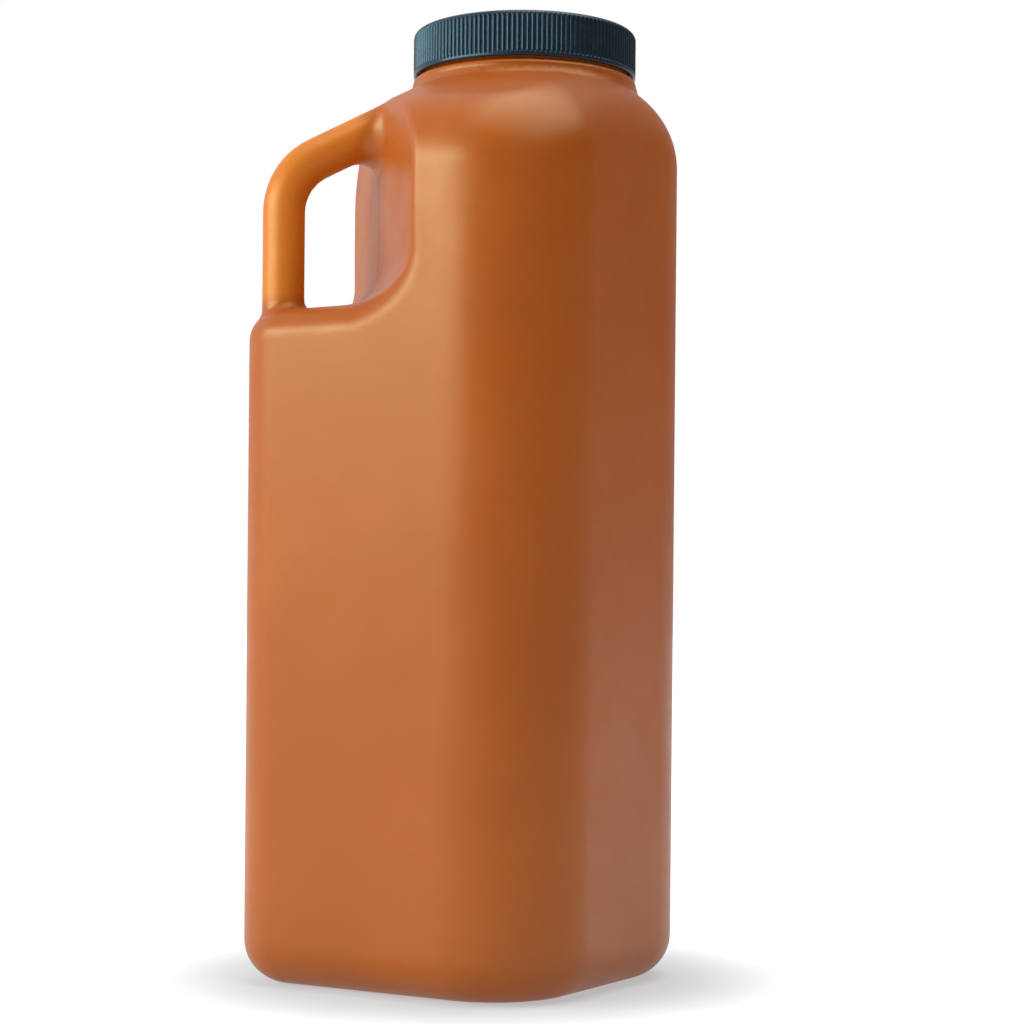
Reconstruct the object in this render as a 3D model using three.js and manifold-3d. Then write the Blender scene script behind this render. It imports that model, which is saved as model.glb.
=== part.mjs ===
// A wide-mouth detergent bottle of three litres: a square blow-moulded bottle with a loop handle
// on one corner, a fluted screw cap, and the foam liner that seals the mouth.
// Millimetres, +Z up. The origin is the centre of the base. X and Y run along the flat sides and
// the handle stands on the -X -Y corner. The mould parts on the vertical plane x = y, about which
// the bottle is mirrored. In that plane t is the distance from the origin, towards the neck, and
// s is the distance from the plane.

import * as THREE from "three";
import { LoftGeometry } from "three/addons/geometries/LoftGeometry.js";
import { mergeVertices } from "three/addons/utils/BufferGeometryUtils.js";
import Module from "manifold-3d";

const wasm = await Module();
wasm.setup();
const radians = THREE.MathUtils.degToRad;

// ---- Driving dimensions ----

// body
const SIDE = 114; // across the flat sides
const CORNER_RADIUS = 34.5; // plan radius of the three plain corners
const HANDLE_CORNER_RADIUS = 18.8; // plan radius of the corner under the handle
const WALL = 1.6;
const BASE_EDGE_RADIUS = 14;
const FOOT_WIDTH = 5; // flat ring that the bottle stands on
const PUSH_UP = 3; // hollow in the middle of the base
const PUSH_UP_RAMP = 7; // its sloping edge, seen from below

// recess behind the grip
const SHELF_HEIGHT = 212.5; // base to shelf
const FINGER_GAP = 23.6; // grip to recess wall
const RECESS_FILLET = 15; // between the shelf and the recess wall
const RECESS_EDGE_RADIUS = 9.5; // rounding of its edges
const DRAFT = radians(1.4); // recess wall to the mould's pull

// shoulder, a cone about the neck
const SHOULDER_RISE = 73.3; // shelf to where the cone meets the collar
const SHOULDER_SLOPE = radians(28);
const SHOULDER_RADIUS = 27; // rounding between the cone and the sides

// handle
const GRIP_RADIUS = 6.65;
const GRIP_SET_BACK = 3.8; // corner's outer face to the grip's outer face
const HANDLE_BEND_RADIUS = 20; // at the middle of the tube
const GRIP_FOOT_FILLET = 3.5;
const ARM_FILLET = 6.5;
const ARM_DROP = 0.5; // arm's outer line to the cone, whose slope it keeps

// neck
const NECK_TO_SIDE = 45.8; // neck axis to the two sides away from the handle
const THREAD_RADIUS = 34.5; // over the neck's thread
const THREAD_DEPTH = 1.2;
const THREAD_PITCH = 4.233;
const THREAD_TURNS = 1.2;
const THREAD_ROOT_WIDTH = 2;
const THREAD_CREST_WIDTH = 1;
const THREAD_TOP = 2.6; // lip to the middle of the thread's upper end
const THREAD_RAMP = 0.06; // share of a turn over which a thread's end fades
const THREAD_END = 0.08; // share of its depth that it starts and stops with
const NECK_WALL = 2;
const COLLAR_HEIGHT = 4; // cone to the collar's top
const COLLAR_EDGE = 0.8;
const COLLAR_FILLET = 2.5;
const COLLAR_SINK = 0.15; // foot of that fillet under the cone
const FINISH_HEIGHT = 12.6; // collar's top to the lip
const LIP_EDGE = 0.6;

// cap and liner
const CAP_WALL = 1.2; // at the crest of the flutes
const CAP_TOP_WALL = 1.5;
const CAP_TOP_EDGE = 2; // bevel round the top
const CAP_RIM = 1.1; // plain band under the flutes
const CAP_BAND = 0.4; // plain band above them
const CAP_GAP = 0.9; // collar to cap
const FLUTES = 144;
const FLUTE_DEPTH = 0.45;
const LINER_THICKNESS = 1.2;

// clearances
const THREAD_CLEARANCE = 0.3; // radial, crest to the other piece's wall
const THREAD_PLAY = 0.3; // along the axis, flank to flank
const LINER_CLEARANCE = 0.4; // liner's edge to the cap's bore
const COLLAR_OVER_CAP = 0.1; // how far the collar stands out past the cap

// ---- Places worked out from them ----

const HALF = SIDE / 2;
const NECK = HALF - NECK_TO_SIDE; // x and y of the neck axis
const NECK_T = NECK * Math.SQRT2;
const CORNER_TIP_T = -(HALF * Math.SQRT2 - HANDLE_CORNER_RADIUS * (Math.SQRT2 - 1));
const GRIP_T = CORNER_TIP_T + GRIP_SET_BACK + GRIP_RADIUS;
const RECESS_WALL_T = GRIP_T + GRIP_RADIUS + FINGER_GAP;

const NECK_RADIUS = THREAD_RADIUS - THREAD_DEPTH;
const BORE_RADIUS = NECK_RADIUS - NECK_WALL;
const CAP_BORE = THREAD_RADIUS + THREAD_CLEARANCE;
const CAP_RADIUS = CAP_BORE + CAP_WALL;
const COLLAR_RADIUS = CAP_RADIUS + COLLAR_OVER_CAP;

const SHOULDER_TOP = SHELF_HEIGHT + SHOULDER_RISE;
const COLLAR_TOP = SHOULDER_TOP + COLLAR_HEIGHT;
const LIP = COLLAR_TOP + FINISH_HEIGHT;
const CAP_BOTTOM = COLLAR_TOP + CAP_GAP;
const CAP_UNDERSIDE = LIP + LINER_THICKNESS;
const CAP_TOP = CAP_UNDERSIDE + CAP_TOP_WALL;

const ROUND_STEPS = 72; // facets round the neck and the cap's bore
const CORNER_STEPS = 8; // facets round each upright corner
const EDGE_STEPS = 4; // facets round the base's edge and the shelf's
const SHOULDER_STEPS = 9;
const BEND_STEPS = 9; // round the handle's bend
const TUBE_SIDES = 16; // round the handle's tube
const FILLET_STEPS = 4; // round the collar's fillet
const SINK = 0.4; // how far a thread's root is sunk into its wall
const OVER = 5; // how far a cutting or joining solid runs past the face it meets

// ---- Solids and booleans ----

function solidOf(geometry) {
  const bare = new THREE.BufferGeometry().setAttribute("position", geometry.getAttribute("position"));
  bare.setIndex(geometry.getIndex());
  const merged = mergeVertices(bare, 1e-4);
  return new wasm.Manifold(
    new wasm.Mesh({
      numProp: 3,
      vertProperties: new Float32Array(merged.getAttribute("position").array),
      triVerts: new Uint32Array(merged.index.array),
    }),
  );
}

function geometryOf(solid) {
  const mesh = solid.getMesh();
  return new THREE.BufferGeometry()
    .setAttribute("position", new THREE.BufferAttribute(mesh.vertProperties, 3))
    .setIndex(new THREE.BufferAttribute(mesh.triVerts, 1));
}

// A solid turned about the neck axis from [radius, height] pairs that start and end on the axis.
function turned(profile) {
  const points = profile.map(([radius, height]) => new THREE.Vector2(radius, height));
  const lathe = new THREE.LatheGeometry(points, ROUND_STEPS);
  return solidOf(lathe.rotateX(Math.PI / 2).translate(NECK, NECK, 0));
}

// A solid through rings of points. Each end is closed by a fan to the middle of its ring.
function loft(sections) {
  const middle = (ring) => {
    const sum = ring.reduce((total, point) => total.add(point), new THREE.Vector3());
    return ring.map(() => sum.clone().divideScalar(ring.length));
  };
  const closed = [middle(sections[0]), ...sections, middle(sections.at(-1))];
  return solidOf(new LoftGeometry(closed));
}

// ---- The body's surface ----
// A surface is sampled as { d, n }: the distance of a point outside it, and its outward normal.

const flipped = ({ d, n }) => ({ d: -d, n: n.clone().negate() });

// Two surfaces' common inside, with the edge between them rounded to a radius.
function roundedEdge(a, b, radius) {
  const cosine = a.n.dot(b.n);
  const u = a.d + radius;
  const v = b.d + radius;
  if (u <= cosine * v || v <= cosine * u) return a.d > b.d ? a : b;
  const share = 1 - cosine * cosine;
  const fromEdge = a.n.clone().multiplyScalar((u - cosine * v) / share);
  fromEdge.addScaledVector(b.n, (v - cosine * u) / share);
  const length = fromEdge.length();
  return { d: length - radius, n: fromEdge.divideScalar(length) };
}

// Two surfaces joined, with a fillet in the corner between them.
const filletedCorner = (a, b, radius) => flipped(roundedEdge(flipped(a), flipped(b), radius));

// The upright sides: a square with rounded corners.
function sides(x, y) {
  const radius = x < 0 && y < 0 ? HANDLE_CORNER_RADIUS : CORNER_RADIUS;
  const u = Math.abs(x) - HALF + radius;
  const v = Math.abs(y) - HALF + radius;
  const n = new THREE.Vector3(u > v ? 1 : 0, u > v ? 0 : 1, 0);
  if (u > 0 && v > 0) n.set(u, v, 0).normalize();
  const d = Math.min(Math.max(u, v), 0) + Math.hypot(Math.max(u, 0), Math.max(v, 0)) - radius;
  return { d, n: n.multiply(new THREE.Vector3(Math.sign(x), Math.sign(y), 0)) };
}

function shoulderCone(x, y, z) {
  const reach = Math.max(Math.hypot(x - NECK, y - NECK), 1e-6);
  const sine = Math.sin(SHOULDER_SLOPE);
  const cosine = Math.cos(SHOULDER_SLOPE);
  const d = (z - SHOULDER_TOP) * cosine + (reach - COLLAR_RADIUS) * sine;
  return { d, n: new THREE.Vector3((sine * (x - NECK)) / reach, (sine * (y - NECK)) / reach, cosine) };
}

// The block that the recess leaves standing: behind the recess wall, and under the shelf.
function recessBlock(x, y, z) {
  const t = (x + y) / Math.SQRT2;
  const s = (x - y) / Math.SQRT2;
  const wallT = RECESS_WALL_T + Math.abs(s) * Math.tan(DRAFT);
  const behindWall = { d: wallT - t, n: new THREE.Vector3(-1, -1, 0).divideScalar(Math.SQRT2) };
  const underShelf = { d: z - SHELF_HEIGHT, n: new THREE.Vector3(0, 0, 1) };
  return filletedCorner(behindWall, underShelf, RECESS_FILLET);
}

function body(x, y, z) {
  const shell = roundedEdge(sides(x, y), shoulderCone(x, y, z), SHOULDER_RADIUS);
  return roundedEdge(shell, recessBlock(x, y, z), RECESS_EDGE_RADIUS);
}

// ---- The body's loft ----

// Directions from the neck axis to points round the sides: close together round the corners and
// the recess's two upright edges, further apart along the flats.
function directions() {
  const points = [];
  const corners = [
    [-1, -1, HANDLE_CORNER_RADIUS],
    [1, -1, CORNER_RADIUS],
    [1, 1, CORNER_RADIUS],
    [-1, 1, CORNER_RADIUS],
  ];
  corners.forEach(([signX, signY, radius], k) => {
    for (let i = 0; i <= CORNER_STEPS; i++) {
      const angle = radians(180 + 90 * k + (90 * i) / CORNER_STEPS);
      const x = signX * (HALF - radius) + radius * Math.cos(angle);
      points.push([x, signY * (HALF - radius) + radius * Math.sin(angle)]);
    }
  });
  const wallT = RECESS_WALL_T + (RECESS_WALL_T + HALF * Math.SQRT2) * Math.tan(DRAFT);
  const recessEdge = wallT * Math.SQRT2 + HALF; // x where the recess wall reaches the side y = -HALF
  for (const along of [-2.7, -1.5, -0.6, -0.3, 0, 0.25, 0.5, 1.5]) {
    const place = recessEdge + along * RECESS_EDGE_RADIUS;
    points.push([place, -HALF], [-HALF, place]);
  }
  const flat = HALF - CORNER_RADIUS; // half a plain side's flat
  for (const place of [-flat / 3, flat / 3]) {
    points.push([HALF, place], [place, HALF]);
  }
  const angles = points.map(([x, y]) => Math.atan2(y - NECK, x - NECK));
  angles.sort((a, b) => a - b);
  return angles.filter((angle, i) => i === 0 || angle - angles[i - 1] > 1e-3);
}

const DIRECTIONS = directions();

// Where a line from the neck axis leaves a surface, for every direction at one height.
function ring(z, surface) {
  return DIRECTIONS.map((angle) => {
    let inside = 0;
    let outside = 2 * SIDE;
    while (outside - inside > 1e-5) {
      const middle = (inside + outside) / 2;
      const x = NECK + middle * Math.cos(angle);
      const y = NECK + middle * Math.sin(angle);
      if (surface(x, y, z) > 0) outside = middle;
      else inside = middle;
    }
    return new THREE.Vector3(NECK + inside * Math.cos(angle), NECK + inside * Math.sin(angle), z);
  });
}

// Heights of a quarter round, from where it is steepest (rise 0) to where it is level.
const quarter = (radius, steps) =>
  Array.from({ length: steps }, (_, i) => radius * Math.sin(((i + 1) * Math.PI) / 2 / steps));

// The body as it would be inside a skin of the given depth: 0 is the outside, WALL the inside.
function bodySolid(depth) {
  const step = 0.03; // half the height that the level shelf is given
  const inset = (amount) => (x, y) => sides(x, y).d + amount;
  const foot = BASE_EDGE_RADIUS + FOOT_WIDTH;
  const edge = BASE_EDGE_RADIUS - depth;
  const sections = [
    ring(PUSH_UP + depth, inset(foot + PUSH_UP_RAMP)),
    ring(depth, inset(foot)),
    ring(depth, inset(BASE_EDGE_RADIUS)),
  ];
  for (const rise of quarter(1, EDGE_STEPS)) {
    const inward = edge * (1 - rise) + depth;
    sections.push(ring(BASE_EDGE_RADIUS - edge * Math.sqrt(1 - rise * rise), inset(inward)));
  }
  const convex = RECESS_EDGE_RADIUS - depth;
  const concave = RECESS_FILLET + depth;
  const shelf = SHELF_HEIGHT - depth;
  const coneTop = SHOULDER_TOP - depth / Math.cos(SHOULDER_SLOPE);
  const lastRadius = depth === 0 ? NECK_RADIUS : BORE_RADIUS - 1;
  const top = coneTop + (COLLAR_RADIUS - lastRadius) * Math.tan(SHOULDER_SLOPE);
  const roundFoot = SHOULDER_TOP - (HALF + NECK - COLLAR_RADIUS) * Math.tan(SHOULDER_SLOPE)
    - SHOULDER_RADIUS * Math.tan((Math.PI / 2 - SHOULDER_SLOPE) / 2);
  const heights = [
    shelf - convex,
    ...quarter(convex, EDGE_STEPS).map((rise) => shelf - convex + Math.min(rise, convex - step)),
    shelf + step,
    ...quarter(1, EDGE_STEPS).map((rise) => shelf + concave * (1 - Math.sqrt(1 - rise * rise))),
  ];
  for (let i = 0; i <= SHOULDER_STEPS; i++) {
    const height = THREE.MathUtils.lerp(roundFoot, top, i / SHOULDER_STEPS);
    if (height > heights.at(-1) + 1) heights.push(height);
  }
  for (const z of heights) sections.push(ring(z, (x, y, height) => body(x, y, height).d + depth));
  return loft(sections);
}

// ---- The handle ----

// Stations along the tube's middle: up the grip, round the bend and down the arm into the neck.
// Each has its t and z, and the angle that the tube points at from level.
function handleStations() {
  const stations = [];
  const bend = HANDLE_BEND_RADIUS * Math.tan((Math.PI / 2 - SHOULDER_SLOPE) / 2);
  const coneFall = (NECK_T - GRIP_T - COLLAR_RADIUS) * Math.tan(SHOULDER_SLOPE);
  const cornerZ = SHOULDER_TOP - coneFall - (ARM_DROP + GRIP_RADIUS) / Math.cos(SHOULDER_SLOPE);
  const bendFoot = cornerZ - bend;
  const fillet = GRIP_FOOT_FILLET;
  for (const above of [-2 * OVER, -0.3 * fillet, 0.25 * fillet, 0.5 * fillet, fillet]) {
    stations.push({ t: GRIP_T, z: SHELF_HEIGHT + above, angle: Math.PI / 2, foot: above });
  }
  for (let i = 0; i <= BEND_STEPS; i++) {
    const angle = THREE.MathUtils.lerp(Math.PI / 2, SHOULDER_SLOPE, i / BEND_STEPS);
    const t = GRIP_T + HANDLE_BEND_RADIUS * (1 - Math.sin(angle));
    stations.push({ t, z: bendFoot + HANDLE_BEND_RADIUS * Math.cos(angle), angle });
  }
  const armStart = stations.at(-1);
  const ends = [1, 0.6, 0.3, 0.12, 0].map((share) => {
    const before = share * ARM_FILLET;
    return { before, t: RECESS_WALL_T - before };
  });
  ends.push({ before: 0, t: NECK_T - (COLLAR_RADIUS + BORE_RADIUS) / 2 });
  for (const { before, t } of ends) {
    const z = armStart.z + (t - armStart.t) * Math.tan(SHOULDER_SLOPE);
    stations.push({ t, z, angle: SHOULDER_SLOPE, arm: before });
  }
  return stations;
}

// How far a quarter-round fillet stands out at a distance from the surface that it ends on.
function flare(distance, radius) {
  const from = radius - THREE.MathUtils.clamp(distance, 0, radius);
  return radius - Math.sqrt(radius * radius - from * from);
}

// The tube, drawn in by the given depth. Its fillets grow towards the finger gap only, so that
// the handle's outer line stays straight into the corner below and the shoulder above.
function handleSolid(depth) {
  const sections = handleStations().map(({ t, z, angle, foot, arm }) => {
    let fillet = 0;
    if (depth === 0 && foot !== undefined) fillet = flare(foot, GRIP_FOOT_FILLET) / 2;
    if (depth === 0 && arm !== undefined) fillet = flare(arm, ARM_FILLET) / 2;
    const radius = GRIP_RADIUS - depth + fillet;
    const inwardT = Math.sin(angle);
    const inwardZ = -Math.cos(angle);
    return Array.from({ length: TUBE_SIDES }, (_, i) => {
      const around = (2 * Math.PI * i) / TUBE_SIDES;
      const inward = fillet + radius * Math.cos(around);
      const s = radius * Math.sin(around);
      const tPoint = t + inward * inwardT;
      return new THREE.Vector3((tPoint - s) / Math.SQRT2, (tPoint + s) / Math.SQRT2, z + inward * inwardZ);
    });
  });
  return loft(sections);
}

// ---- Neck and threads ----

function neckSolid() {
  const turn = Math.PI / 2 - SHOULDER_SLOPE;
  const reach = COLLAR_FILLET * Math.tan(turn / 2);
  const fillet = Array.from({ length: FILLET_STEPS + 1 }, (_, i) => {
    const angle = Math.PI + turn * (1 - i / FILLET_STEPS);
    const centreZ = SHOULDER_TOP + reach - COLLAR_SINK;
    const x = COLLAR_RADIUS + COLLAR_FILLET * (1 + Math.cos(angle));
    return [x, centreZ + COLLAR_FILLET * Math.sin(angle)];
  });
  const root = SHOULDER_TOP - OVER;
  return turned([
    [0, root],
    [fillet[0][0], root],
    ...fillet,
    [COLLAR_RADIUS, COLLAR_TOP - COLLAR_EDGE],
    [COLLAR_RADIUS - COLLAR_EDGE, COLLAR_TOP],
    [NECK_RADIUS, COLLAR_TOP],
    [NECK_RADIUS, LIP - LIP_EDGE],
    [NECK_RADIUS - LIP_EDGE, LIP],
    [0, LIP],
  ]);
}

function boreSolid() {
  return turned([
    [0, SHOULDER_TOP - OVER],
    [BORE_RADIUS, SHOULDER_TOP - OVER],
    [BORE_RADIUS, LIP + OVER],
    [0, LIP + OVER],
  ]);
}

// One right-hand thread: a ridge from a wall's radius to its crest, sunk a little into the wall.
function threadSolid(wallRadius, crestRadius, startZ) {
  const sink = SINK * Math.sign(wallRadius - crestRadius);
  const steps = Math.round((THREAD_TURNS * ROUND_STEPS) / 2);
  const sections = [];
  for (let i = 0; i <= steps; i++) {
    const turns = (THREAD_TURNS * i) / steps;
    const fade = Math.min(1, THREAD_END + Math.min(turns, THREAD_TURNS - turns) / THREAD_RAMP);
    const crest = THREE.MathUtils.lerp(wallRadius, crestRadius, fade);
    const z = startZ + turns * THREAD_PITCH;
    const profile = [
      [wallRadius + sink, z - THREAD_ROOT_WIDTH / 2],
      [crest, z - THREAD_CREST_WIDTH / 2],
      [crest, z + THREAD_CREST_WIDTH / 2],
      [wallRadius + sink, z + THREAD_ROOT_WIDTH / 2],
    ];
    if (sink < 0) profile.reverse();
    const angle = 2 * Math.PI * turns;
    const place = ([r, height]) =>
      new THREE.Vector3(NECK + r * Math.cos(angle), NECK + r * Math.sin(angle), height);
    sections.push(profile.map(place));
  }
  return loft(sections);
}

const NECK_THREAD_Z = LIP - THREAD_TOP - THREAD_TURNS * THREAD_PITCH;

// The cap's thread lies under the neck's, its flank a clearance away from it.
function capThreadDrop() {
  const overlap = THREAD_RADIUS - (NECK_RADIUS + THREAD_CLEARANCE);
  const widthThere = THREE.MathUtils.lerp(
    THREAD_CREST_WIDTH, THREAD_ROOT_WIDTH, overlap / THREAD_DEPTH);
  return (widthThere + THREAD_CREST_WIDTH) / 2 + THREAD_PLAY;
}

// ---- The three pieces ----

function bottle() {
  const outside = bodySolid(0)
    .add(handleSolid(0))
    .add(neckSolid())
    .add(threadSolid(NECK_RADIUS, THREAD_RADIUS, NECK_THREAD_Z));
  const inside = bodySolid(WALL).add(handleSolid(WALL)).add(boreSolid());
  return outside.subtract(inside);
}

function screwCap() {
  const section = (z, crest, root) =>
    Array.from({ length: 2 * FLUTES }, (_, i) => {
      const angle = (Math.PI * i) / FLUTES;
      const radius = i % 2 ? root : crest;
      return new THREE.Vector3(NECK + radius * Math.cos(angle), NECK + radius * Math.sin(angle), z);
    });
  const root = CAP_RADIUS - FLUTE_DEPTH;
  const run = FLUTE_DEPTH; // height over which a flute runs out
  const outside = loft([
    section(CAP_BOTTOM, CAP_RADIUS, CAP_RADIUS),
    section(CAP_BOTTOM + CAP_RIM, CAP_RADIUS, CAP_RADIUS),
    section(CAP_BOTTOM + CAP_RIM + run, CAP_RADIUS, root),
    section(CAP_TOP - CAP_TOP_EDGE - CAP_BAND - run, CAP_RADIUS, root),
    section(CAP_TOP - CAP_TOP_EDGE - CAP_BAND, CAP_RADIUS, CAP_RADIUS),
    section(CAP_TOP - CAP_TOP_EDGE, CAP_RADIUS, CAP_RADIUS),
    section(CAP_TOP, CAP_RADIUS - CAP_TOP_EDGE, CAP_RADIUS - CAP_TOP_EDGE),
  ]);
  const hollow = turned([
    [0, CAP_BOTTOM - OVER],
    [CAP_BORE, CAP_BOTTOM - OVER],
    [CAP_BORE, CAP_UNDERSIDE],
    [0, CAP_UNDERSIDE],
  ]);
  const thread = threadSolid(CAP_BORE, NECK_RADIUS + THREAD_CLEARANCE, NECK_THREAD_Z - capThreadDrop());
  return outside.subtract(hollow).add(thread);
}

function capLiner() {
  const radius = CAP_BORE - LINER_CLEARANCE;
  return turned([
    [0, LIP],
    [radius, LIP],
    [radius, CAP_UNDERSIDE],
    [0, CAP_UNDERSIDE],
  ]);
}

const plastic = (color, roughness) =>
  new THREE.MeshStandardMaterial({ color: new THREE.Color(color), roughness, metalness: 0 });

function piece(name, solid, material) {
  const mesh = new THREE.Mesh(geometryOf(solid), material);
  mesh.name = name;
  return mesh;
}

const assembly = new THREE.Group();
assembly.add(
  piece("bottle", bottle(), plastic("#c47a3c", 0.45)),
  piece("screw_cap", screwCap(), plastic("#1d2833", 0.5)),
  piece("cap_liner", capLiner(), plastic("#eceae2", 0.7)),
);

export default assembly;
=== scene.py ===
"""The looks of a wide-mouth detergent bottle: its blow-moulded shell, neck, fluted cap and foam liner.

Everything is in metres in the frame's own axes: the origin is the middle of the base, X and Y run
along the flat sides, and the handle stands on the -X -Y corner. The mould parts on the upright plane
x = y. In it t is the distance from the origin towards the neck, and s is the distance from the plane.
"""

import math

import bpy
import numpy as np
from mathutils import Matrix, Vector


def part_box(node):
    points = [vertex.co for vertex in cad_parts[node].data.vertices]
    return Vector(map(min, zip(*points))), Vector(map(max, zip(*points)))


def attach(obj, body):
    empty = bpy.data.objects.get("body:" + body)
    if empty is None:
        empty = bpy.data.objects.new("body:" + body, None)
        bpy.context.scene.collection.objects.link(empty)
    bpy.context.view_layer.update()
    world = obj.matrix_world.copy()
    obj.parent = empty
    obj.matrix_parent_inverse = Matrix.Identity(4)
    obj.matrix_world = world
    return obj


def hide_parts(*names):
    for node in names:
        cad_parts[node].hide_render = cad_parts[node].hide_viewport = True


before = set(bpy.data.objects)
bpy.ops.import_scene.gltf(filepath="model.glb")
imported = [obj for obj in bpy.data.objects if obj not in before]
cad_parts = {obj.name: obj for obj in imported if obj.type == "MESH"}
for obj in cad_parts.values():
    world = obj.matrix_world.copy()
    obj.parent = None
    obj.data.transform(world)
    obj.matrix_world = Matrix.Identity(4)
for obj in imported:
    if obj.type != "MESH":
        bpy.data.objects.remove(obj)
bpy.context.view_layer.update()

MM = 0.001
ROOT2 = math.sqrt(2)

# ---- Sizes ----

bottle_low, bottle_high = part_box("bottle")
cap_low, cap_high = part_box("screw_cap")
liner_low, liner_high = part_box("cap_liner")

HALF = bottle_high.x  # the flat sides, from the middle
NECK = (cap_low.x + cap_high.x) / 2  # x and y of the neck axis
CAP_RADIUS = (cap_high.x - cap_low.x) / 2
LIP = bottle_high.z
CAP_BOTTOM, CAP_TOP = cap_low.z, cap_high.z
CAP_UNDERSIDE = liner_high.z

CORNER_RADIUS = 34.5 * MM
HANDLE_CORNER_RADIUS = 18.8 * MM
WALL = 1.6 * MM
BASE_EDGE_RADIUS = 14 * MM
FOOT_WIDTH = 5 * MM
PUSH_UP = 3 * MM  # height of the hollow inside the foot
PUSH_UP_RAMP = 7 * MM

SHELF_HEIGHT = 212.5 * MM
FINGER_GAP = 23.6 * MM
RECESS_FILLET = 15 * MM
RECESS_EDGE_RADIUS = 9.5 * MM  # along the shelf
RECESS_UPRIGHT_RADIUS = 4.5 * MM  # up the two edges of the wall
DRAFT = math.radians(1.4)

SHOULDER_TOP = 285.8 * MM
SHOULDER_SLOPE = math.radians(28)
SHOULDER_RADIUS = 27 * MM

GRIP_RADIUS = 6.65 * MM
GRIP_SET_BACK = 3.8 * MM
HANDLE_BEND_RADIUS = 20 * MM
GRIP_FOOT_FILLET = 3.5 * MM
GRIP_ROOT = 12 * MM  # how far the grip's tube goes on under the shelf
ARM_FILLET = 7.5 * MM

THREAD_DEPTH = 1.2 * MM
THREAD_PITCH = 4.233 * MM
THREAD_TURNS = 1.2
THREAD_TOP = 2.6 * MM
THREAD_WIDTH = 2.3 * MM
THREAD_FLANK = 0.5  # each flank's share of half the width
THREAD_RAMP = 0.06  # turns over which it fades in and out
THREAD_CLEARANCE = 0.3 * MM
CAP_THREAD_DROP = 2.05 * MM  # the cap's thread under the neck's
CAP_WALL = 1.2 * MM
THREAD_RADIUS = CAP_RADIUS - CAP_WALL - THREAD_CLEARANCE
NECK_THREAD_Z = LIP - THREAD_TOP - THREAD_TURNS * THREAD_PITCH
NECK_RADIUS = THREAD_RADIUS - THREAD_DEPTH
NECK_WALL = 2 * MM
NECK_ROOT_RADIUS = 0.4 * MM
LIP_RADIUS = 0.8 * MM
BORE_RADIUS = NECK_RADIUS - NECK_WALL
COLLAR_RADIUS = CAP_RADIUS + 0.1 * MM
COLLAR_TOP = SHOULDER_TOP + 4 * MM
COLLAR_FILLET = 3 * MM
COLLAR_EDGE = 1.5 * MM

FLUTES = 144
FLUTE_DEPTH = 0.6 * MM
FLUTE_START = 0.4 * MM  # height over which the flutes deepen, above the plain rim
FLUTE_END = 0.6 * MM  # and fade, below the rounded edge
CAP_RIM = 1.1 * MM
CAP_RIM_RADIUS = 0.3 * MM
CAP_EDGE_RADIUS = 2.2 * MM
LINER_EDGE_RADIUS = 0.4 * MM

NECK_T = NECK * ROOT2
CORNER_TIP_T = -(HALF * ROOT2 - HANDLE_CORNER_RADIUS * (ROOT2 - 1))
GRIP_T = CORNER_TIP_T + GRIP_SET_BACK + GRIP_RADIUS
RECESS_WALL_T = GRIP_T + GRIP_RADIUS + FINGER_GAP

# ---- Fineness of the meshes ----

SHELL_PITCH = 1.9 * MM
NECK_COLUMNS = 360
COLUMNS_TO_A_FLUTE = 6
LINER_COLUMNS = 180
POLE_RADIUS = 2 * MM  # inside it a turned piece is closed by a fan
THREAD_STEP = 0.2 * MM
CAP_STEP = 0.35 * MM
CAP_TOP_STEP = 2.5 * MM
LINER_LIP_STEP = 0.5 * MM
FLAT_STEP = 4 * MM  # where nothing bends

# ---- Meshes ----


def in_scene(name, data):
    made = bpy.data.objects.new(name, data)
    bpy.context.scene.collection.objects.link(made)
    return made


def smooth_piece(name, points, faces, normals=None):
    """A piece from points (n, 3), lists of corners and, where given, the normal at each point."""
    mesh = bpy.data.meshes.new(name)
    mesh.from_pydata(points, [], faces)
    mesh.update()
    mesh.polygons.foreach_set("use_smooth", np.ones(len(mesh.polygons), bool))
    if normals is not None:
        mesh.normals_split_custom_set_from_vertices(normals)
    return in_scene(name, mesh)


# ---- The shell's surface ----
# A surface is a pair of arrays: each point's distance outside it, and the unit vector away from it.

BACK_TO_BACK = -0.95  # cosine between normals past which two surfaces share no edge


def unit(v):
    """Vectors divided by their lengths."""
    return v / np.maximum(np.linalg.norm(v, axis=-1, keepdims=True), 1e-12)


def pick(where, a, b):
    """The first surface where the condition holds, and the second elsewhere."""
    return np.where(where, a[0], b[0]), np.where(where[..., None], a[1], b[1])


def rounded_edge(a, b, radius):
    """The common inside of two surfaces, its edge a round of the given radius.

    With u and v the distances past two surfaces set in by the radius, and c the cosine between
    their normals, the round is where u > c v and v > c u. There the distance is that from the line
    where the two inset surfaces meet, less the radius. Surfaces that all but face away from each
    other share no edge and are left sharp.
    """
    cosine = (a[1] * b[1]).sum(-1)
    u, v = a[0] + radius, b[0] + radius
    share = np.maximum(1 - cosine**2, 1e-6)
    along_a, along_b = (u - cosine * v) / share, (v - cosine * u) / share
    away = along_a[..., None] * a[1] + along_b[..., None] * b[1]
    reach = np.linalg.norm(away, axis=-1)
    rounded = (reach - radius, away / np.maximum(reach, 1e-12)[..., None])
    share_edge = (along_a > 0) & (along_b > 0) & (cosine > BACK_TO_BACK)
    return pick(share_edge, rounded, pick(a[0] > b[0], a, b))


def filleted_corner(a, b, radius):
    """Two surfaces joined, with a fillet between them: a rounded edge turned inside out."""
    d, n = rounded_edge((-a[0], -a[1]), (-b[0], -b[1]), radius)
    return -d, -n


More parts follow.
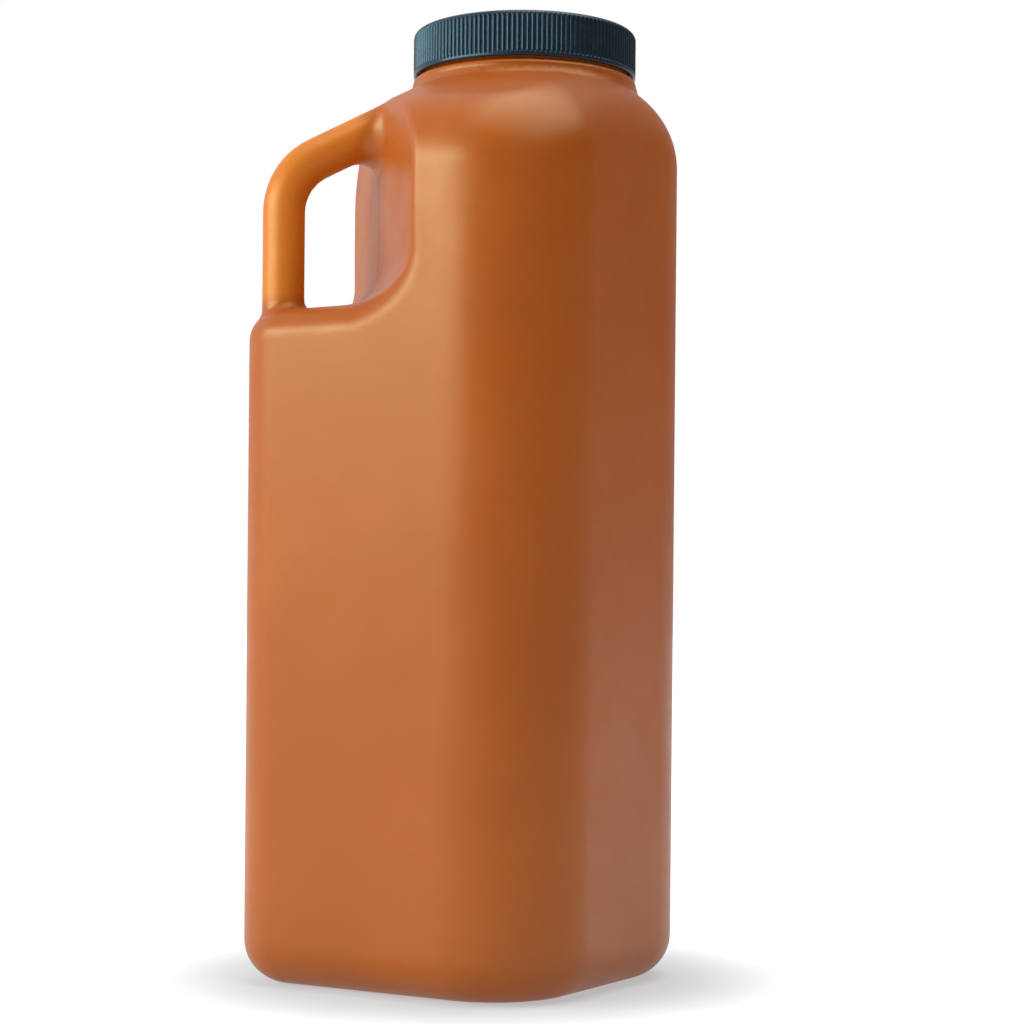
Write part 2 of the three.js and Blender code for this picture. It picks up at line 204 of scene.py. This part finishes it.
def sides(p):
    """Upright sides on a square with rounded corners, the handle's corner the sharpest.

    With u and v the distances past the middle of a corner's round, the distance is the length of
    (u, v) less the radius in the corner, and the greater of u and v less the radius elsewhere.
    """
    x, y = p[..., 0], p[..., 1]
    radius = np.where((x < 0) & (y < 0), HANDLE_CORNER_RADIUS, CORNER_RADIUS)
    u, v = np.abs(x) - HALF + radius, np.abs(y) - HALF + radius
    in_corner = (u > 0) & (v > 0)
    n = np.stack([np.where(in_corner, u, u > v), np.where(in_corner, v, u <= v), 0 * u], -1)
    d = np.minimum(np.maximum(u, v), 0) + np.hypot(np.maximum(u, 0), np.maximum(v, 0)) - radius
    return d, unit(n) * np.stack([np.sign(x), np.sign(y), 0 * x], -1)


def neck_reach(p):
    """Distance from the neck axis, and the level unit vector away from it."""
    away = p - [NECK, NECK, 0]
    away[..., 2] = 0
    return np.linalg.norm(away, axis=-1), unit(away)


def shoulder(p):
    """A cone about the neck axis, falling at the shoulder's slope from the collar's foot.

    The distance is the height above the foot times the slope's cosine, plus the distance out from
    the foot times its sine.
    """
    reach, away = neck_reach(p)
    sine, cosine = math.sin(SHOULDER_SLOPE), math.cos(SHOULDER_SLOPE)
    d = (p[..., 2] - SHOULDER_TOP) * cosine + (reach - COLLAR_RADIUS) * sine
    return d, away * sine + np.array([0, 0, cosine])


def collar(p):
    """The upright cylinder that the cap stands over, from a root inside the shoulder.

    The distance is the greater of that out from the cylinder and that below its root.
    """
    reach, away = neck_reach(p)
    below = SHOULDER_TOP - COLLAR_RADIUS / 2 - p[..., 2]
    down = np.broadcast_to([0.0, 0.0, -1.0], p.shape)
    return pick(below > reach - COLLAR_RADIUS, (below, down), (reach - COLLAR_RADIUS, away))


def recess_block(p):
    """What the finger recess leaves standing: behind its wall, and under its shelf.

    The wall is two upright planes that meet on x = y and fall back from there by the draft, so its
    distance is that along t times the draft's cosine, plus |s| times its sine. The shelf is level.
    """
    t, s = (p[..., 0] + p[..., 1]) / ROOT2, (p[..., 0] - p[..., 1]) / ROOT2
    lean_t, lean_s = -math.cos(DRAFT), np.where(s > 0, 1, -1) * math.sin(DRAFT)
    d = (RECESS_WALL_T - t) * math.cos(DRAFT) + np.abs(s) * math.sin(DRAFT)
    n = np.stack([(lean_t + lean_s) / ROOT2, (lean_t - lean_s) / ROOT2, 0 * t], -1)
    up = np.broadcast_to([0.0, 0.0, 1.0], p.shape)
    return filleted_corner((d, n), (p[..., 2] - SHELF_HEIGHT, up), RECESS_FILLET)


def base(p):
    """The underside: a flat ring to stand on, and inside it a shallow push-up with a soft edge.

    Its height rises from nothing to the push-up's as 3 x^2 - 2 x^3, where x is how far a point is
    inside the foot, as a share of the ramp.
    """
    inset = -sides(p)[0] - BASE_EDGE_RADIUS - FOOT_WIDTH
    share = np.clip(inset / PUSH_UP_RAMP, 0, 1)
    height = PUSH_UP * share * share * (3 - 2 * share)
    slope = PUSH_UP * 6 * share * (1 - share) / PUSH_UP_RAMP
    n = unit(-slope[..., None] * sides(p)[1] - [0, 0, 1])
    return (height - p[..., 2]) * -n[..., 2], n


def handle(p):
    """A tube of even radius: distance from an upright line, a bend and a sloping line, in turn.

    The upright line starts inside the body, a little under the shelf.
    """
    t, s = (p[..., 0] + p[..., 1]) / ROOT2, (p[..., 0] - p[..., 1]) / ROOT2
    z = p[..., 2]
    fall = (NECK_T - GRIP_T - COLLAR_RADIUS) * math.tan(SHOULDER_SLOPE)
    corner_z = SHOULDER_TOP - fall - GRIP_RADIUS / math.cos(SHOULDER_SLOPE)
    centre_t = GRIP_T + HANDLE_BEND_RADIUS
    centre_z = corner_z - HANDLE_BEND_RADIUS * math.tan((math.pi / 2 - SHOULDER_SLOPE) / 2)
    from_t, from_z = t - centre_t, z - centre_z
    sine, cosine = math.sin(SHOULDER_SLOPE), math.cos(SHOULDER_SLOPE)
    beyond = from_t * cosine + from_z * sine  # along the arm from the end of the bend
    rim = np.maximum(np.hypot(from_t, from_z), 1e-9)
    on_grip, on_arm = from_z < 0, (beyond > 0) & (from_z >= 0)
    bend = HANDLE_BEND_RADIUS / rim
    off_t = np.where(on_grip, t - GRIP_T, from_t * (1 - bend))
    off_z = np.where(on_grip, np.minimum(z - SHELF_HEIGHT + GRIP_ROOT, 0), from_z * (1 - bend))
    above = -from_t * sine + from_z * cosine - HANDLE_BEND_RADIUS
    off_t = np.where(on_arm, -above * sine, off_t)
    off_z = np.where(on_arm, above * cosine, off_z)
    off = np.stack([(off_t + s) / ROOT2, (off_t - s) / ROOT2, off_z], -1)
    return np.linalg.norm(off, axis=-1) - GRIP_RADIUS, unit(off)


def shell(p):
    """The whole blow-moulded shell below the collar's top.

    The walls are the common inside of sides, shoulder, recess block and base, and the handle and the
    collar are joined on. The recess's edge tightens from the shelf up, and the handle's fillet grows.
    """
    walls = rounded_edge(sides(p), shoulder(p), SHOULDER_RADIUS)
    up = np.clip((p[..., 2] - SHELF_HEIGHT) / (2 * RECESS_FILLET), 0, 1)
    edge = RECESS_EDGE_RADIUS + (RECESS_UPRIGHT_RADIUS - RECESS_EDGE_RADIUS) * up * up * (3 - 2 * up)
    walls = rounded_edge(walls, recess_block(p), edge)
    base_edge = np.where(p[..., 2] < HALF, BASE_EDGE_RADIUS, MM)  # only the low part meets the base
    walls = rounded_edge(walls, base(p), base_edge)
    high = np.clip((p[..., 2] - SHELF_HEIGHT) / (SHOULDER_TOP - SHELF_HEIGHT), 0, 1)
    fillet = GRIP_FOOT_FILLET + (ARM_FILLET - GRIP_FOOT_FILLET) * high
    walls = filleted_corner(walls, handle(p), fillet)
    return filleted_corner(walls, collar(p), COLLAR_FILLET)


def skin(surface, low, high, pitch):
    """Points, quads and normals of a surface, as one sheet that is open at the highest level.

    The space is cut into cubes. A cube that the surface passes through gets one point, the mean of
    where the surface crosses its edges, and each crossed edge gets a face between the four cubes
    around it. The points are then moved along the surface's normal until they lie on it.
    """
    axes = [np.arange(low[k], high[k] + pitch / 2, pitch) for k in range(3)]
    nodes = np.stack(np.meshgrid(*axes, indexing="ij"), -1)
    value = surface(nodes)[0]
    inside = value < 0
    cells = np.array(value.shape) - 1
    total, count = np.zeros((*cells, 3)), np.zeros(cells)
    crossings = []
    for k in range(3):
        first = [slice(None)] * 3
        second = [slice(None)] * 3
        first[k], second[k] = slice(None, -1), slice(1, None)
        first, second = tuple(first), tuple(second)
        crossed = inside[first] != inside[second]
        part = value[first] / np.where(crossed, value[first] - value[second], 1)
        place = nodes[first].copy()
        place[..., k] += part * pitch
        place[~crossed] = 0
        crossings.append((crossed, inside[first]))
        i, j = [m for m in range(3) if m != k]
        for shift_i in (0, 1):
            for shift_j in (0, 1):
                source = [slice(None)] * 3
                source[i] = slice(shift_i, shift_i + cells[i])
                source[j] = slice(shift_j, shift_j + cells[j])
                total += place[tuple(source)]
                count += crossed[tuple(source)]
    used = count > 0
    number = np.full(cells, -1)
    number[used] = np.arange(used.sum())
    points = total[used] / count[used][:, None]
    faces = []
    for k, (crossed, starts_inside) in enumerate(crossings):
        i, j = (k + 1) % 3, (k + 2) % 3
        at = np.argwhere(crossed)
        at = at[(at[:, i] > 0) & (at[:, j] > 0) & (at[:, i] < cells[i]) & (at[:, j] < cells[j])]
        out = starts_inside[tuple(at.T)]
        corners = []
        for back_i, back_j in ((1, 1), (0, 1), (0, 0), (1, 0)):
            cell = at.copy()
            cell[:, i] -= back_i
            cell[:, j] -= back_j
            corners.append(number[tuple(cell.T)])
        quads = np.stack(corners, -1)
        quads[~out] = quads[~out][:, ::-1]
        faces.append(quads)
    for _ in range(4):
        d, n = surface(points)
        points = points - d[:, None] * n
    return points, np.concatenate(faces), surface(points)[1]


def shell_piece():
    """The shell as a closed wall: the outer skin, and the same skin set in by the wall's thickness.

    The open edge at the top is put on a true circle, and a ring of quads joins the two skins there.
    """
    rim_z = COLLAR_TOP - COLLAR_EDGE
    pitch = rim_z / round(rim_z / SHELL_PITCH)
    reach = math.ceil(HALF / pitch + 1) * pitch
    low, high = (-reach, -reach, -2 * pitch), (reach, reach, rim_z)
    points, faces, normals = skin(shell, low, high, pitch)
    edges = np.sort(np.stack([faces, np.roll(faces, -1, 1)], -1).reshape(-1, 2), 1)
    edges, uses = np.unique(edges, axis=0, return_counts=True)
    rim = np.unique(edges[uses == 1])
    away = points[rim, :2] - NECK
    away /= np.linalg.norm(away, axis=1, keepdims=True)
    points[rim] = np.column_stack([NECK + COLLAR_RADIUS * away, np.full(len(rim), rim_z)])
    normals[rim] = np.column_stack([away, np.zeros(len(rim))])
    rim = rim[np.argsort(np.arctan2(away[:, 1], away[:, 0]))]
    count = len(points)
    next_rim = np.roll(rim, -1)
    wall_top = np.stack([rim, next_rim, next_rim + count, rim + count], -1)
    points = np.concatenate([points, points - WALL * normals])
    faces = np.concatenate([faces, faces[:, ::-1] + count, wall_top])
    return smooth_piece("bottle_shell", points, faces.tolist(), np.concatenate([normals, -normals]))


def once_round(columns):
    """Evenly spaced angles round the axis, from 0 and without the last."""
    return np.arange(columns) * 2 * math.pi / columns


def turned(name, radius, height, ends):
    """A surface turned about the neck axis. Radius and height are arrays of profile points by columns.

    A point is the neck's x and y, plus its radius times the cosine and the sine of its column's
    angle, at its height. The profile runs up the outside, so that the faces look outward. With ends
    "poles" its first and last rows are closed by fans, and with "joined" they are joined.
    """
    rows, columns = radius.shape
    angle = once_round(columns)
    rings = np.stack([NECK + radius * np.cos(angle), NECK + radius * np.sin(angle), height], -1)
    column = np.arange(columns)
    row = np.arange(rows if ends == "joined" else rows - 1)[:, None] * columns
    here, beside = row + column, row + (column + 1) % columns
    quads = np.stack([here, beside, beside + columns, here + columns], -1).reshape(-1, 4)
    points = rings.reshape(-1, 3)
    if ends == "joined":
        return smooth_piece(name, points, (quads % len(points)).tolist())
    first, last = column, column + len(points) - columns
    fans = []
    for ring, pole in ((first, len(points)), (last[::-1], len(points) + 1)):
        fans += np.stack([np.full(columns, pole), np.roll(ring, -1), ring], -1).tolist()
    poles = [[NECK, NECK, height[0, 0]], [NECK, NECK, height[-1, 0]]]
    return smooth_piece(name, np.concatenate([points, poles]), quads.tolist() + fans)


def thread_ridge(angle, height, start_height):
    """How far a thread stands out, from 0 to 1, at an angle about the neck and a height.

    The thread's middle rises by its pitch in each turn. Its section is a trapezium with soft
    shoulders, 3 x^2 - 2 x^3 of the way up its flank, and it fades in and out at its two ends.
    """
    ridge = np.zeros(np.broadcast(angle, height).shape)
    for whole_turns in range(math.ceil(THREAD_TURNS)):
        turns = angle / (2 * math.pi) + whole_turns
        off = np.abs(height - start_height - turns * THREAD_PITCH) / (THREAD_WIDTH / 2)
        section = np.clip((1 - off) / THREAD_FLANK, 0, 1)
        fade = np.clip(np.minimum(turns, THREAD_TURNS - turns) / THREAD_RAMP, 0, 1)
        ridge = np.maximum(ridge, section * section * (3 - 2 * section) * np.sqrt(fade))
    return ridge


def arc(centre, radius, start, stop, count):
    """Points (radius from the axis, height) round an arc, its ends given in degrees from level."""
    angle = np.radians(np.linspace(start, stop, count))
    return np.column_stack([centre[0] + radius * np.cos(angle), centre[1] + radius * np.sin(angle)])


def line(start, stop, spacing):
    """Evenly spaced points from one to the other, without the last."""
    count = max(2, math.ceil(math.dist(start, stop) / spacing))
    return np.linspace(start, stop, count + 1)[:-1]


def neck_piece():
    """Collar, threaded wall, lip and bore: one profile turned about the axis, plus the thread."""
    edge, lip, root = COLLAR_EDGE, LIP_RADIUS, NECK_ROOT_RADIUS
    foot = COLLAR_TOP - COLLAR_EDGE
    profile = np.concatenate([
        line((COLLAR_RADIUS - WALL, foot), (COLLAR_RADIUS, foot), WALL),
        arc((COLLAR_RADIUS - edge, COLLAR_TOP - edge), edge, 0, 90, 9),
        arc((NECK_RADIUS + root, COLLAR_TOP + root), root, -90, -180, 4),
        line((NECK_RADIUS, COLLAR_TOP + 2 * root), (NECK_RADIUS, LIP - lip), THREAD_STEP),
        arc((NECK_RADIUS - lip, LIP - lip), lip, 0, 90, 7),
        arc((BORE_RADIUS + lip, LIP - lip), lip, 90, 180, 7),
        line((BORE_RADIUS, LIP - 2 * lip), (BORE_RADIUS, COLLAR_TOP), MM),
        line((BORE_RADIUS, COLLAR_TOP), (COLLAR_RADIUS - WALL, foot), MM),
    ])
    angle = once_round(NECK_COLUMNS)
    radius, height = profile[:, :1], profile[:, 1:]
    ridge = THREAD_DEPTH * thread_ridge(angle, height, NECK_THREAD_Z)
    on_wall = (radius > NECK_RADIUS - 1e-6) & (radius < NECK_RADIUS + 1e-6)
    radius = np.where(on_wall, radius + ridge, radius)
    return turned("neck_finish", radius, np.broadcast_to(height, radius.shape), "joined")


def cap_piece():
    """Top, fluted skirt, plain rim and threaded bore: one profile turned about the axis.

    The flutes take the skirt in by their depth times the square of (1 - cos n a) / 2, with n their
    number and a the angle. They run out into the plain rim below and the rounded edge above.
    """
    edge, rim = CAP_EDGE_RADIUS, CAP_RIM_RADIUS
    bore = CAP_RADIUS - CAP_WALL
    outside = np.concatenate([
        line((POLE_RADIUS, CAP_TOP), (CAP_RADIUS - edge, CAP_TOP), CAP_TOP_STEP),
        arc((CAP_RADIUS - edge, CAP_TOP - edge), edge, 90, 0, 9),
        line((CAP_RADIUS, CAP_TOP - edge - 0.2 * MM), (CAP_RADIUS, CAP_BOTTOM + rim), CAP_STEP),
        arc((CAP_RADIUS - rim, CAP_BOTTOM + rim), rim, 0, -90, 4),
    ])
    inside = np.concatenate([
        arc((bore + rim, CAP_BOTTOM + rim), rim, -90, -180, 4),
        line((bore, CAP_BOTTOM + 2 * rim), (bore, CAP_UNDERSIDE - rim), CAP_STEP),
        arc((bore - rim, CAP_UNDERSIDE - rim), rim, 0, 90, 4),
        line((bore - 2 * rim, CAP_UNDERSIDE), (POLE_RADIUS, CAP_UNDERSIDE), FLAT_STEP),
    ])
    angle = once_round(FLUTES * COLUMNS_TO_A_FLUTE)
    groove = (0.5 - 0.5 * np.cos(FLUTES * angle)) ** 2
    radius, height = outside[:, :1], outside[:, 1:]
    above_rim = np.clip((height - CAP_BOTTOM - CAP_RIM) / FLUTE_START, 0, 1)
    below_edge = np.clip((CAP_TOP - edge / 2 - height) / FLUTE_END, 0, 1)
    outer = radius - FLUTE_DEPTH * groove * above_rim * below_edge
    radius, height = inside[:, :1], inside[:, 1:]
    ridge = THREAD_DEPTH * thread_ridge(angle, height, NECK_THREAD_Z - CAP_THREAD_DROP)
    inner = np.where(np.abs(radius - bore) < 1e-6, radius - ridge, radius)
    both = np.concatenate([outer, inner])
    heights = np.concatenate([outside[:, 1:], inside[:, 1:]])
    return turned("fluted_cap", both[::-1], np.broadcast_to(heights, both.shape)[::-1], "poles")


def liner_piece():
    """A flat disc of foam with rounded edges: one profile turned about the axis."""
    radius, edge = (liner_high.x - liner_low.x) / 2, LINER_EDGE_RADIUS
    low, high = liner_low.z, liner_high.z
    profile = np.concatenate([
        line((POLE_RADIUS, high), (radius - edge, high), FLAT_STEP),
        arc((radius - edge, high - edge), edge, 90, 0, 5),
        arc((radius - edge, low + edge), edge, 0, -90, 5),
        line((radius - 2 * edge, low), (POLE_RADIUS, low), LINER_LIP_STEP),
    ])[::-1]
    angles = np.ones(LINER_COLUMNS)
    return turned("foam_liner", profile[:, :1] * angles, profile[:, 1:] * angles, "poles")


# ---- Materials ----


class Finish:
    """A material's nodes, with a short way to add one and join it up."""

    def __init__(self, name):
        self.material = bpy.data.materials.new(name)
        self.material.use_nodes = True
        self.tree = self.material.node_tree
        self.shader = self.tree.nodes["Principled BSDF"]

    def node(self, kind, settings=(), **inputs):
        """A node with its settings, then its inputs by name, with _ for a space."""
        made = self.tree.nodes.new(kind)
        for key, value in dict(settings).items():
            setattr(made, key, value)
        for key, value in inputs.items():
            self.put(made, key.replace("_", " "), value)
        return made

    def put(self, node, socket, value):
        """A link where the value is another node's output, and the value itself elsewhere."""
        if isinstance(value, bpy.types.NodeSocket):
            self.tree.links.new(value, node.inputs[socket])
        else:
            node.inputs[socket].default_value = value

    def place(self):
        return self.node("ShaderNodeTexCoord").outputs["Object"]

    def noise(self, scale, detail):
        """Noise over the object, scale being the number of features to the metre."""
        made = self.node(
            "ShaderNodeTexNoise", Vector=self.place(), Scale=scale, Detail=detail, Roughness=0.55
        )
        return made.outputs["Fac"]

    def ramp(self, value, low, high, to_low, to_high):
        """A smooth rise or fall from to_low at low to to_high at high."""
        made = self.node("ShaderNodeMapRange", [("interpolation_type", "SMOOTHSTEP")])
        for socket, number in enumerate((value, low, high, to_low, to_high)):
            self.put(made, socket, number)
        return made.outputs[0]

    def maths(self, operation, a, b=0.0):
        made = self.node("ShaderNodeMath", [("operation", operation)])
        self.put(made, 0, a)
        self.put(made, 1, b)
        return made.outputs[0]

    def blend(self, factor, a, b):
        made = self.node("ShaderNodeMix", [("data_type", "RGBA")])
        self.put(made, 0, factor)
        self.put(made, 6, a)
        self.put(made, 7, b)
        return made.outputs[2]

    def bump(self, height, distance, strength, after=None):
        """The normal bent by a height of up to the distance, on top of another bump where given."""
        made = self.node("ShaderNodeBump", Height=height, Distance=distance, Strength=strength)
        if after is not None:
            self.put(made, "Normal", after)
        return made.outputs[0]

    def surface(self, **inputs):
        """The shader's inputs by name, with _ for a space. Gives back the finished material."""
        for key, value in inputs.items():
            self.put(self.shader, key.replace("_", " "), value)
        return self.material


def colour(red, green, blue):
    """A colour given as it looks on a screen, from 0 to 255, as linear light."""
    share = np.array([red, green, blue]) / 255
    linear = np.where(share <= 0.04045, share / 12.92, ((share + 0.055) / 1.055) ** 2.4)
    return (*linear.tolist(), 1.0)


def blown_polyethylene():
    """Satin orange-brown plastic: cloudy thickness, a fine orange-peel skin and a parting line.

    The handle above the shelf is painted lighter: a painted glow, standing in for the light that comes
    through its narrow tube from all round.
    """
    finish = Finish("blown_polyethylene")
    clouds = finish.ramp(finish.noise(14, 2.0), 0.35, 0.65, 0.0, 1.0)
    specks = finish.ramp(finish.noise(260, 3.0), 0.4, 0.7, 0.0, 0.35)
    base = finish.blend(clouds, BOTTLE_DEEP, BOTTLE_LIGHT)
    base = finish.blend(specks, base, BOTTLE_DEEP)
    xyz = finish.node("ShaderNodeSeparateXYZ", Vector=finish.place()).outputs
    past_wall = finish.maths("SUBTRACT", RECESS_WALL_T * ROOT2, finish.maths("ADD", xyz[0], xyz[1]))
    off_wall = finish.ramp(past_wall, 3 * MM, 14 * MM, 0.0, 1.0)
    off_shelf = finish.ramp(xyz[2], SHELF_HEIGHT, SHELF_HEIGHT + 6 * MM, 0.0, 1.0)
    # Painted light: the handle above the shelf is blended towards a lighter colour, a painted glow.
    base = finish.blend(finish.maths("MULTIPLY", off_wall, off_shelf), base, HANDLE_PAINTED_GLOW)
    off_plane = finish.maths("ABSOLUTE", finish.maths("SUBTRACT", xyz[0], xyz[1]))
    parting = finish.ramp(off_plane, 0.0, 0.9 * MM, 1.0, 0.0)
    peel = finish.bump(finish.noise(900, 2.0), 0.03 * MM, 0.6)
    waves = finish.bump(finish.noise(22, 1.0), 0.35 * MM, 0.5, peel)
    normal = finish.bump(parting, 0.15 * MM, 1.0, waves)
    rough = finish.ramp(finish.noise(60, 4.0), 0.3, 0.7, 0.36, 0.43)
    return finish.surface(
        Base_Color=base,
        Roughness=rough,
        IOR=1.54,
        Specular_Tint=(1.0, 0.92, 0.6, 1.0),
        Normal=normal,
        Subsurface_Weight=0.25,
        Subsurface_Radius=(1.0, 0.45, 0.2),
        Subsurface_Scale=3 * MM,
    )


def moulded_polypropylene():
    """Satin blue-black plastic, with the fine dulling that handling gives it."""
    finish = Finish("moulded_polypropylene")
    wear = finish.ramp(finish.noise(180, 4.0), 0.45, 0.7, 0.0, 1.0)
    base = finish.blend(wear, colour(30, 38, 47), colour(33, 42, 52))
    grain = finish.bump(finish.noise(2500, 2.0), 0.004 * MM, 0.5)
    return finish.surface(
        Base_Color=base,
        Roughness=finish.ramp(wear, 0.0, 1.0, 0.26, 0.31),
        IOR=1.49,
        Specular_Tint=(0.3, 0.6, 0.95, 1.0),
        Normal=grain,
    )


def closed_cell_foam():
    """Off-white foam with fine pores."""
    finish = Finish("closed_cell_foam")
    cells = finish.node("ShaderNodeTexVoronoi", Vector=finish.place(), Scale=2200.0)
    pores = cells.outputs["Distance"]
    wall = finish.ramp(pores, 0.0, 0.7, 0.0, 1.0)
    return finish.surface(
        Base_Color=finish.blend(wall, colour(222, 220, 210), colour(240, 239, 232)),
        Roughness=0.75,
        Normal=finish.bump(pores, 0.06 * MM, 0.6),
    )


def paper_floor():
    """A pale studio floor, faintly mottled, that glows more the further it is from the bottle: the dim
    glow near it is a painted contact shadow, and the glow is also dimmed on the +X side, painted shade
    there.
    """
    finish = Finish("paper_floor")
    mottle = finish.ramp(finish.noise(40, 3.0), 0.3, 0.7, 0.0, 1.0)
    away = finish.node("ShaderNodeVectorMath", [("operation", "LENGTH")], Vector=finish.place())
    # The glow rises with distance from the bottle: dim near it, a painted contact shadow.
    near, far = (finish.ramp(away.outputs["Value"], *glow) for glow in (FLOOR_GLOW_CONTACT_SHADOW, FLOOR_FAR))
    across = finish.node(
        "ShaderNodeVectorMath", [("operation", "DOT_PRODUCT")], Vector=finish.place()
    )
    finish.put(across, 1, FLOOR_LIGHT_SIDE)
    # Painted shade: the glow is dimmed on the +X side of the floor.
    side = finish.ramp(across.outputs["Value"], *FLOOR_SIDE_SHADE)
    return finish.surface(
        Base_Color=finish.blend(mottle, FLOOR_LIGHT, FLOOR_DEEP),
        Roughness=0.9,
        Specular_IOR_Level=0.1,
        Emission_Color=FLOOR_GLOW_TINT,
        Emission_Strength=finish.maths("MULTIPLY", finish.maths("MULTIPLY", near, far), side),
    )


def give_finish(piece, material, body):
    """A piece's material, and the body and material slot that it belongs to."""
    piece.data.materials.append(material)
    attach(piece, body)


# ---- Studio ----


def area_light(name, place, aim, size, power, tint):
    """A soft box: a lit rectangle at a place, turned to face a point."""
    light = bpy.data.lights.new(name, "AREA")
    light.shape = "RECTANGLE"
    light.size, light.size_y = size
    light.energy = power
    light.color = tint
    lamp = in_scene(name, light)
    away = np.array(place) - np.array(aim)
    level = math.hypot(away[0], away[1])
    lamp.visible_camera = False
    lamp.location = place
    lamp.rotation_euler = (math.atan2(level, away[2]), 0, math.atan2(away[0], -away[1]))


def studio():
    """White all round to the eye. What lights the bottle is dimmer, and brightest from -X and above."""
    world = bpy.data.worlds.new("studio")
    bpy.context.scene.world = world
    world.use_nodes = True
    tree = world.node_tree
    lit = tree.nodes["Background"]
    seen = tree.nodes.new("ShaderNodeBackground")
    seen.inputs["Color"].default_value = (1, 1, 1, 1)
    way = tree.nodes.new("ShaderNodeTexCoord")
    dot = tree.nodes.new("ShaderNodeVectorMath")
    dot.operation = "DOT_PRODUCT"
    tree.links.new(way.outputs["Generated"], dot.inputs[0])
    dot.inputs[1].default_value = WORLD_LIGHT_SIDE
    glow = tree.nodes.new("ShaderNodeMapRange")
    glow.interpolation_type = "SMOOTHSTEP"
    tree.links.new(dot.outputs["Value"], glow.inputs["Value"])
    for socket, number in enumerate(WORLD_GLOW, start=1):
        glow.inputs[socket].default_value = number
    tree.links.new(glow.outputs[0], lit.inputs["Strength"])
    lit.inputs["Color"].default_value = WORLD_TINT
    eye = tree.nodes.new("ShaderNodeLightPath")
    either = tree.nodes.new("ShaderNodeMixShader")
    tree.links.new(eye.outputs["Is Camera Ray"], either.inputs[0])
    tree.links.new(lit.outputs[0], either.inputs[1])
    tree.links.new(seen.outputs[0], either.inputs[2])
    tree.links.new(either.outputs[0], tree.nodes["World Output"].inputs["Surface"])
    bpy.ops.mesh.primitive_plane_add(size=FLOOR_SIZE)
    floor = bpy.context.object
    floor.name = "studio_floor"
    floor.data.materials.append(paper_floor())
    for name, place, size, power, tint in LIGHTS:
        area_light(name, place, LIGHTS_AIM, size, power, tint)
    bpy.context.scene.view_settings.view_transform = "Standard"


def camera():
    data = bpy.data.cameras.new("camera")
    data.sensor_width = 36
    data.lens = CAMERA_LENS
    data.shift_y = CAMERA_SHIFT
    view = in_scene("camera", data)
    view.location = CAMERA_PLACE
    view.rotation_euler = (math.pi / 2, 0, CAMERA_TURN)
    view.rotation_euler.rotate_axis("Z", CAMERA_ROLL)
    bpy.context.scene.camera = view


# ---- Looks ----

BOTTLE_DEEP = colour(156, 72, 9)
BOTTLE_LIGHT = colour(162, 77, 12)
# Painted glow on the handle, for the light coming through its tube; not the plastic's own colour.
HANDLE_PAINTED_GLOW = colour(192, 105, 25)

# A ramp is where it starts, where it stops, and its value at each.
FLOOR_SIZE = 24
FLOOR_LIGHT = colour(140, 143, 151)
FLOOR_DEEP = colour(136, 139, 147)
FLOOR_GLOW_TINT = colour(254, 254, 255)
# The floor's glow dims near the bottle: a painted contact shadow.
FLOOR_GLOW_CONTACT_SHADOW = (0.06, 0.13, 0.45, 0.95)  # by distance from the middle of the base
FLOOR_FAR = (0.3, 1.2, 1.0, 1.2)  # times this, by the same distance
FLOOR_LIGHT_SIDE = (-0.9, 0.44, 0)
# Painted shade: the floor's glow is dimmed on the +X side.
FLOOR_SIDE_SHADE = (-0.9, -0.1, 0.72, 1.0)  # times this, by distance towards that side
WORLD_TINT = (0.92, 0.98, 1.0, 1)
WORLD_LIGHT_SIDE = (-0.85, 0.15, 0.5)
WORLD_GLOW = (-0.2, 1.0, 0.05, 0.75)  # by how far a direction points towards that side

# Each light has a name, a place, a width and height, a power and a tint.
LIGHTS_AIM = (0, 0, 0.2)
LIGHTS = (
    ("key", (-0.64, -1.0, 0.586), (1.2, 0.4), 15.5, (0.93, 1.0, 0.84)),
    ("top", (0.4, 0.05, 1.45), (1.4, 1.4), 18, (1.0, 0.99, 0.84)),
    ("rim", (0.5, 1.4, 0.6), (0.7, 1.0), 0.3, (1.0, 0.8, 0.7)),
)

CAMERA_PLACE = (0.412435, -0.66011, 0.117217)
CAMERA_TURN = math.radians(31.048)
CAMERA_ROLL = math.radians(0.525)
CAMERA_LENS = 84.63
CAMERA_SHIFT = 0.0998

# ---- The scene ----

shell_skin = shell_piece()
neck = neck_piece()
cap = cap_piece()
liner = liner_piece()

polyethylene = blown_polyethylene()
give_finish(shell_skin, polyethylene, "bottle")
give_finish(neck, polyethylene, "bottle")
give_finish(cap, moulded_polypropylene(), "cap")
give_finish(liner, closed_cell_foam(), "liner")
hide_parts("bottle")
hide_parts("screw_cap")
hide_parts("cap_liner")

studio()
camera()
